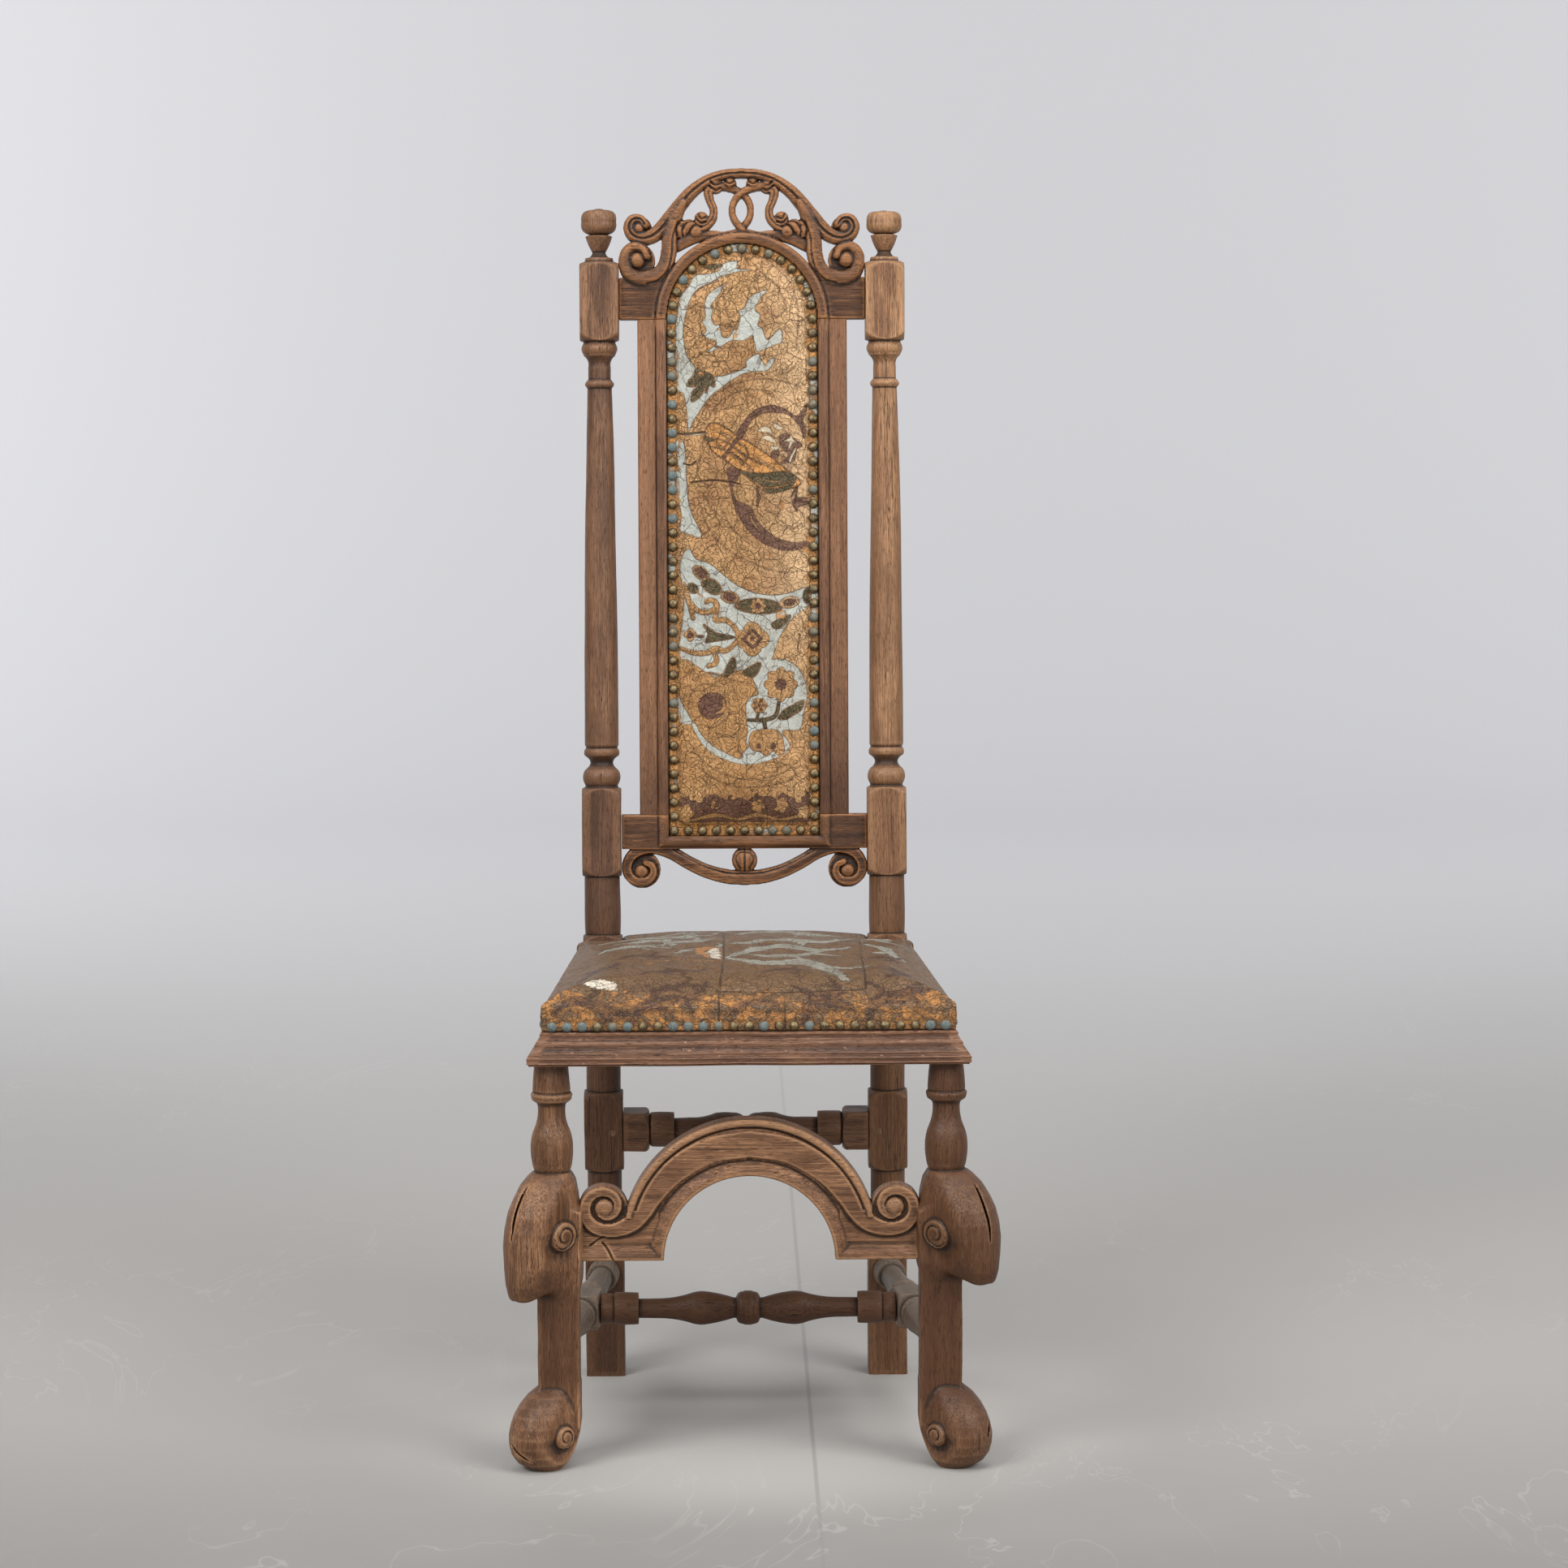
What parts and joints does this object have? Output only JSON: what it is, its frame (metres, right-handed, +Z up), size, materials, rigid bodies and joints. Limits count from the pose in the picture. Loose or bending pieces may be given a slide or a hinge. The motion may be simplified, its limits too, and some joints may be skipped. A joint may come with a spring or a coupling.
{
  "type": "high-back chair",
  "caption": "Tall narrow side chair of turned and carved wood: arched pierced crest, nailed gilt leather back and seat, scroll front legs, arched front stretcher and turned stretchers.",
  "frame": {"origin": "bottom centre of the bounding box, on the floor", "axes": "+Z up, +Y towards the back of the chair, X across it"},
  "size_m": [0.5125, 0.5539, 1.3347],
  "materials": {
    "stained_wood": "old dark stain and wax, worn pale on edges",
    "peg_oak": "bare end grain",
    "gilt_leather": "tooled, painted and gilded, cracked with age",
    "seat_leather": "painted and gilded, worn dull and flaking",
    "stuffing": "hair and tow",
    "linen": "plain weave, aged",
    "webbing": "herringbone jute",
    "nail_brass": "domed, tarnished, partly green",
    "tack_iron": "blued, rusted"
  },
  "bodies": {
    "root": {"back_post_left": "stained_wood", "back_post_right": "stained_wood", "crest_rail": "stained_wood", "back_stile_left": "stained_wood", "back_stile_right": "stained_wood", "lower_back_rail": "stained_wood", "seat_front_rail": "stained_wood", "seat_side_rail_left": "stained_wood", "seat_side_rail_right": "stained_wood", "seat_back_rail": "stained_wood", "front_leg_left": "stained_wood", "front_leg_right": "stained_wood", "front_stretcher": "stained_wood", "side_stretcher_left": "stained_wood", "side_stretcher_right": "stained_wood", "medial_stretcher": "stained_wood", "rear_stretcher": "stained_wood", "back_pegs": "peg_oak", "seat_pegs": "peg_oak", "stretcher_pegs": "peg_oak", "back_leather": "gilt_leather", "seat_leather": "seat_leather", "back_stuffing": "stuffing", "seat_stuffing": "stuffing", "back_linen": "linen", "seat_base_cloth": "linen", "seat_webbing": "webbing", "back_nails": "nail_brass", "seat_nails": "nail_brass", "webbing_tacks": "tack_iron", "linen_tacks": "tack_iron"}
  },
  "joints": []
}
